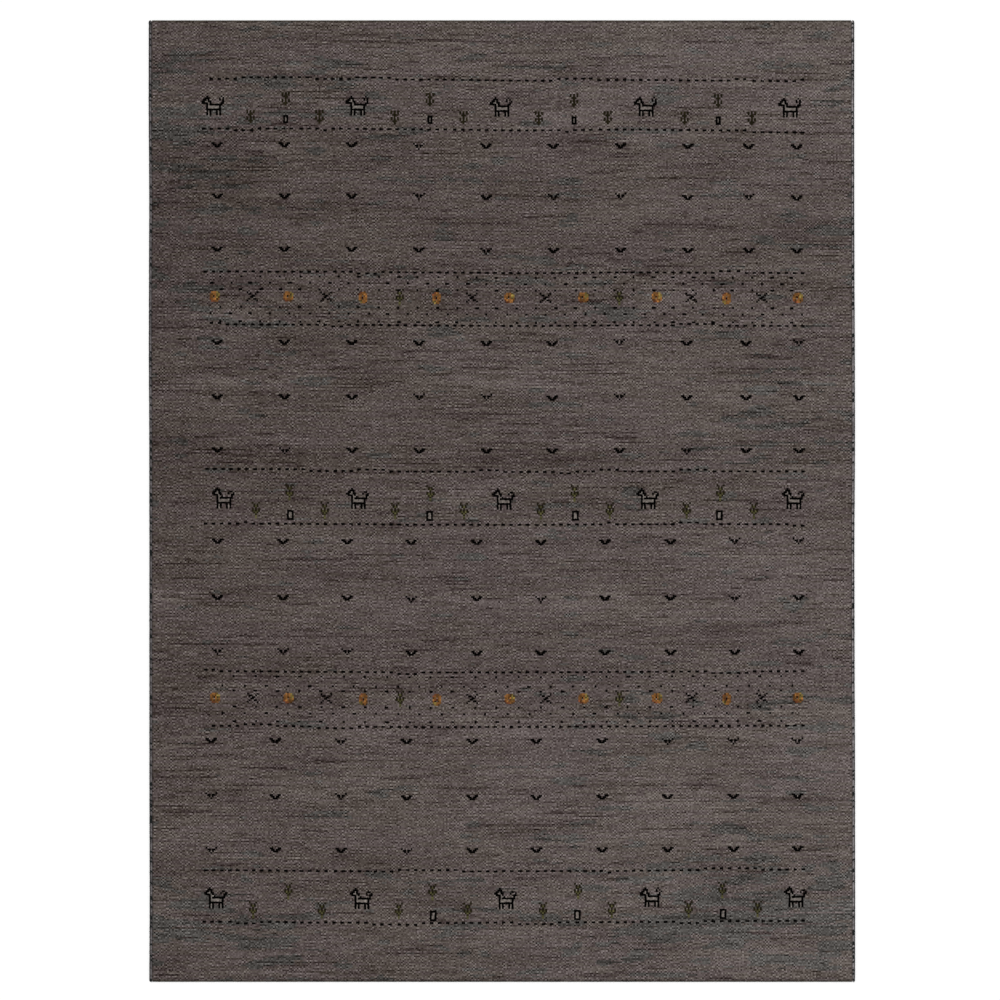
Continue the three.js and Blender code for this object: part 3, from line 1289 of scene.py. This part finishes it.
def cord_shades(edge, side, rings, draw):
    """Colour of each face of a cord by turn of yarn: the outer side darker, partly yarn and partly painted
    shade; the inner side painted lighter.
    """
    turns = rings // RINGS_IN_TURN + 2
    lighter = 1.0 if side < 0 else edge.right_lighter
    inner = np.array(edge.inner_yarn_and_light) * lighter
    outer = np.array(edge.outer_yarn_and_shade) * lighter
    bead = np.array(edge.bead_colour)
    tone = draw.uniform(0.8, 1.2, turns)
    dark = draw.random(turns) < edge.dark_turns
    angle = (np.arange(CORD_SIDES) + 0.5) / CORD_SIDES * 2 * math.pi
    outward = side * np.cos(angle)
    # From the inner side to the outer side; the colour darkens along it, partly as painted shade.
    lean = np.clip((outward + 0.25) / 0.6, 0, 1)
    number = np.arange(rings)[:, None] + np.round(3 * np.sin(angle))[None, :]
    turn = np.clip((number / RINGS_IN_TURN).astype(int), 0, turns - 1)
    colour = inner + (outer - inner) * lean[None, :, None]
    colour = colour * tone[turn][..., None]
    # The dark turns too are painted darker on their outer side as shade.
    return np.where(dark[turn][..., None], bead * (1.15 - 0.3 * lean[None, :, None]), colour)


def cord_points(edge, node, side, draw):
    """Rings of a cord along the rug's side, its yarn bulging at each turn."""
    stations, outer = edge_line(node, side)
    turns = int((RUG_LENGTH - 0.002) / edge.turn_pitch)
    rings = turns * RINGS_IN_TURN
    y = np.linspace(FAR_END - 0.0003, NEAR_END + 0.0003, rings + 1)
    middle = np.interp(y, stations, outer) - side * CORD_WIDTH / 2
    angle = np.arange(CORD_SIDES) / CORD_SIDES * 2 * math.pi
    phase = np.arange(rings + 1)[:, None] / RINGS_IN_TURN + 3 * np.sin(angle)[None, :] / RINGS_IN_TURN
    bulge = np.abs(np.sin(math.pi * phase)) ** 0.7
    turn_size = draw.normal(size=turns + 3) * 0.00012
    size = turn_size[np.clip(phase.astype(int) + 1, 0, turns + 2)]
    end = np.clip(np.minimum(np.arange(rings + 1), rings - np.arange(rings + 1)) / RINGS_IN_TURN, 0, 1)
    round_end = np.sqrt(1 - (1 - end) ** 2 * 0.95)[:, None]
    half_width = (CORD_WIDTH / 2 - edge.turn_bulge + edge.turn_bulge * bulge + size) * round_end
    half_height = (CORD_HIGH / 2 - edge.turn_bulge + edge.turn_bulge * bulge + size) * round_end
    x = middle[:, None] + half_width * np.cos(angle)
    z = CORD_HIGH / 2 + half_height * np.sin(angle)
    return np.stack([x, y[:, None] * np.ones_like(x), np.maximum(z, 0.0002)], axis=-1), rings


def tube_faces(rings, sides):
    """Faces of a tube of rings that runs toward -Y, with a fan at each end."""
    ring = np.arange(rings)[:, None]
    side = np.arange(sides)[None, :]
    after = (side + 1) % sides
    first = ring * sides
    below = first + sides
    quads = np.stack([first + side, below + side, below + after, first + after], axis=-1)
    far_pole = (rings + 1) * sides
    side = np.arange(sides)
    after = (side + 1) % sides
    last = rings * sides
    far_fan = np.stack([side, after, np.full(sides, far_pole)], axis=-1)
    near_fan = np.stack([last + after, last + side, np.full(sides, far_pole + 1)], axis=-1)
    return quads.reshape(-1, 4), np.concatenate([far_fan, near_fan])


def tube_map(rings, sides):
    """Where a tube's faces lie in the square map: strips of rings side by side, the fans on top."""
    per_strip = math.ceil(rings / MAP_STRIPS)
    ring, side = (part.ravel() for part in np.meshgrid(np.arange(rings), np.arange(sides), indexing="ij"))
    strip = ring // per_strip
    v = ring - strip * per_strip
    wide = np.stack([side, side, side + 1, side + 1], axis=-1) * 0.97
    u = (strip[:, None] + (wide + 0.1) / sides) / MAP_STRIPS
    down = np.stack([v, v + 1, v + 1, v], axis=-1)
    quads = np.stack([u, 0.98 * (1 - down / per_strip)], axis=-1).reshape(-1, 2)
    start = np.arange(2 * sides) / (2 * sides)
    width = 1 / (2 * sides)
    fan_u = np.stack([start, start + 0.9 * width, start + 0.45 * width], axis=-1)
    fan_v = np.tile([0.985, 0.985, 0.999], (2 * sides, 1))
    fans = np.stack([fan_u, fan_v], axis=-1).reshape(-1, 2)
    return np.concatenate([quads, fans])


class RUG_OT_overcast_cords(bpy.types.Operator):
    """Winds yarn round the cord along each side of the rug"""

    bl_idname = "rug.overcast_cords"
    bl_label = "Overcast cords"

    def execute(self, context):
        edge = context.scene.rug_edges
        material = cord_material()
        for name, side in (("left", -1), ("right", 1)):
            node = f"selvedge_{name}"
            draw = np.random.default_rng(70 + side)
            points, rings = cord_points(edge, node, side, draw)
            quads, fans = tube_faces(rings, CORD_SIDES)
            poles = points[[0, -1]].mean(axis=1)
            shades = cord_shades(edge, side, rings, draw)
            fan_shades = np.repeat(shades[[0, -1]].mean(axis=1), CORD_SIDES, axis=0)
            piece = build_piece(
                f"overcast_cord_{name}",
                np.concatenate([points.reshape(-1, 3), poles]),
                [quads, fans],
                material,
                shades=np.concatenate([shades.reshape(-1, 3), fan_shades]),
                maps={"OFBake": tube_map(rings, CORD_SIDES)},
                smooth=True,
            )
            settle(piece, "edge_wool", node)
        return {"FINISHED"}


class RUG_OT_stage(bpy.types.Operator):
    """Lays the pale floor, hangs the soft studio light and sets the camera straight above"""

    bl_idname = "rug.stage"
    bl_label = "Stage"

    def execute(self, context):
        stage = context.scene.rug_stage
        scene = context.scene
        half = 9.0
        corners = np.array([(-half, -half, 0), (half, -half, 0), (half, half, 0), (-half, half, 0)])
        floor = build_piece("studio_floor", corners, [np.array([(0, 1, 2, 3)])], floor_material())

        world = bpy.data.worlds.new("soft_white_studio")
        world.use_nodes = True
        world.node_tree.nodes["Background"].inputs["Strength"].default_value = stage.sky
        world.node_tree.nodes["Background"].inputs["Color"].default_value = (1, 1, 1, 1)
        scene.world = world

        lamp = bpy.data.lights.new("soft_key", "SUN")
        lamp.energy = stage.key
        lamp.angle = 0.5
        key = bpy.data.objects.new("soft_key", lamp)
        key.rotation_euler = (math.radians(-18), math.radians(-9), 0)
        scene.collection.objects.link(key)

        lens = bpy.data.cameras.new("overhead")
        lens.lens = stage.lens
        lens.sensor_width = 36.0
        camera = bpy.data.objects.new("overhead", lens)
        camera.location = Vector((-0.0047, 0.0027, stage.camera_height))
        scene.collection.objects.link(camera)
        scene.camera = camera
        scene.view_settings.view_transform = "Standard"
        return {"FINISHED"}


OPERATORS = (
    RUG_OT_stage,
    RUG_OT_knotted_pile,
    RUG_OT_rim_tufts,
    RUG_OT_woven_back,
    RUG_OT_figure_knots,
    RUG_OT_overcast_cords,
)


class RUG_PT_panel(bpy.types.Panel):
    """Sizes of the rug and a button for each of its pieces"""

    bl_idname = "RUG_PT_panel"
    bl_label = "Hand-knotted rug"
    bl_space_type = "VIEW_3D"
    bl_region_type = "UI"
    bl_category = "Rug"

    def draw(self, context):
        for settings in (context.scene.rug_pile, context.scene.rug_edges, context.scene.rug_stage):
            box = self.layout.box()
            for name in settings.__annotations__:
                box.prop(settings, name)
        for operator in OPERATORS:
            self.layout.operator(operator.bl_idname)


CLASSES = (RugPileSettings, RugEdgeSettings, RugStageSettings, *OPERATORS, RUG_PT_panel)


def register():
    for item in CLASSES:
        bpy.utils.register_class(item)
    bpy.types.Scene.rug_pile = PointerProperty(type=RugPileSettings)
    bpy.types.Scene.rug_edges = PointerProperty(type=RugEdgeSettings)
    bpy.types.Scene.rug_stage = PointerProperty(type=RugStageSettings)


def unregister():
    del bpy.types.Scene.rug_stage
    del bpy.types.Scene.rug_edges
    del bpy.types.Scene.rug_pile
    for item in reversed(CLASSES):
        bpy.utils.unregister_class(item)


def main():
    register()
    bpy.ops.rug.stage()
    bpy.ops.rug.knotted_pile()
    bpy.ops.rug.rim_tufts()
    bpy.ops.rug.woven_back()
    bpy.ops.rug.figure_knots()
    bpy.ops.rug.overcast_cords()


if __name__ == "__main__":
    main()
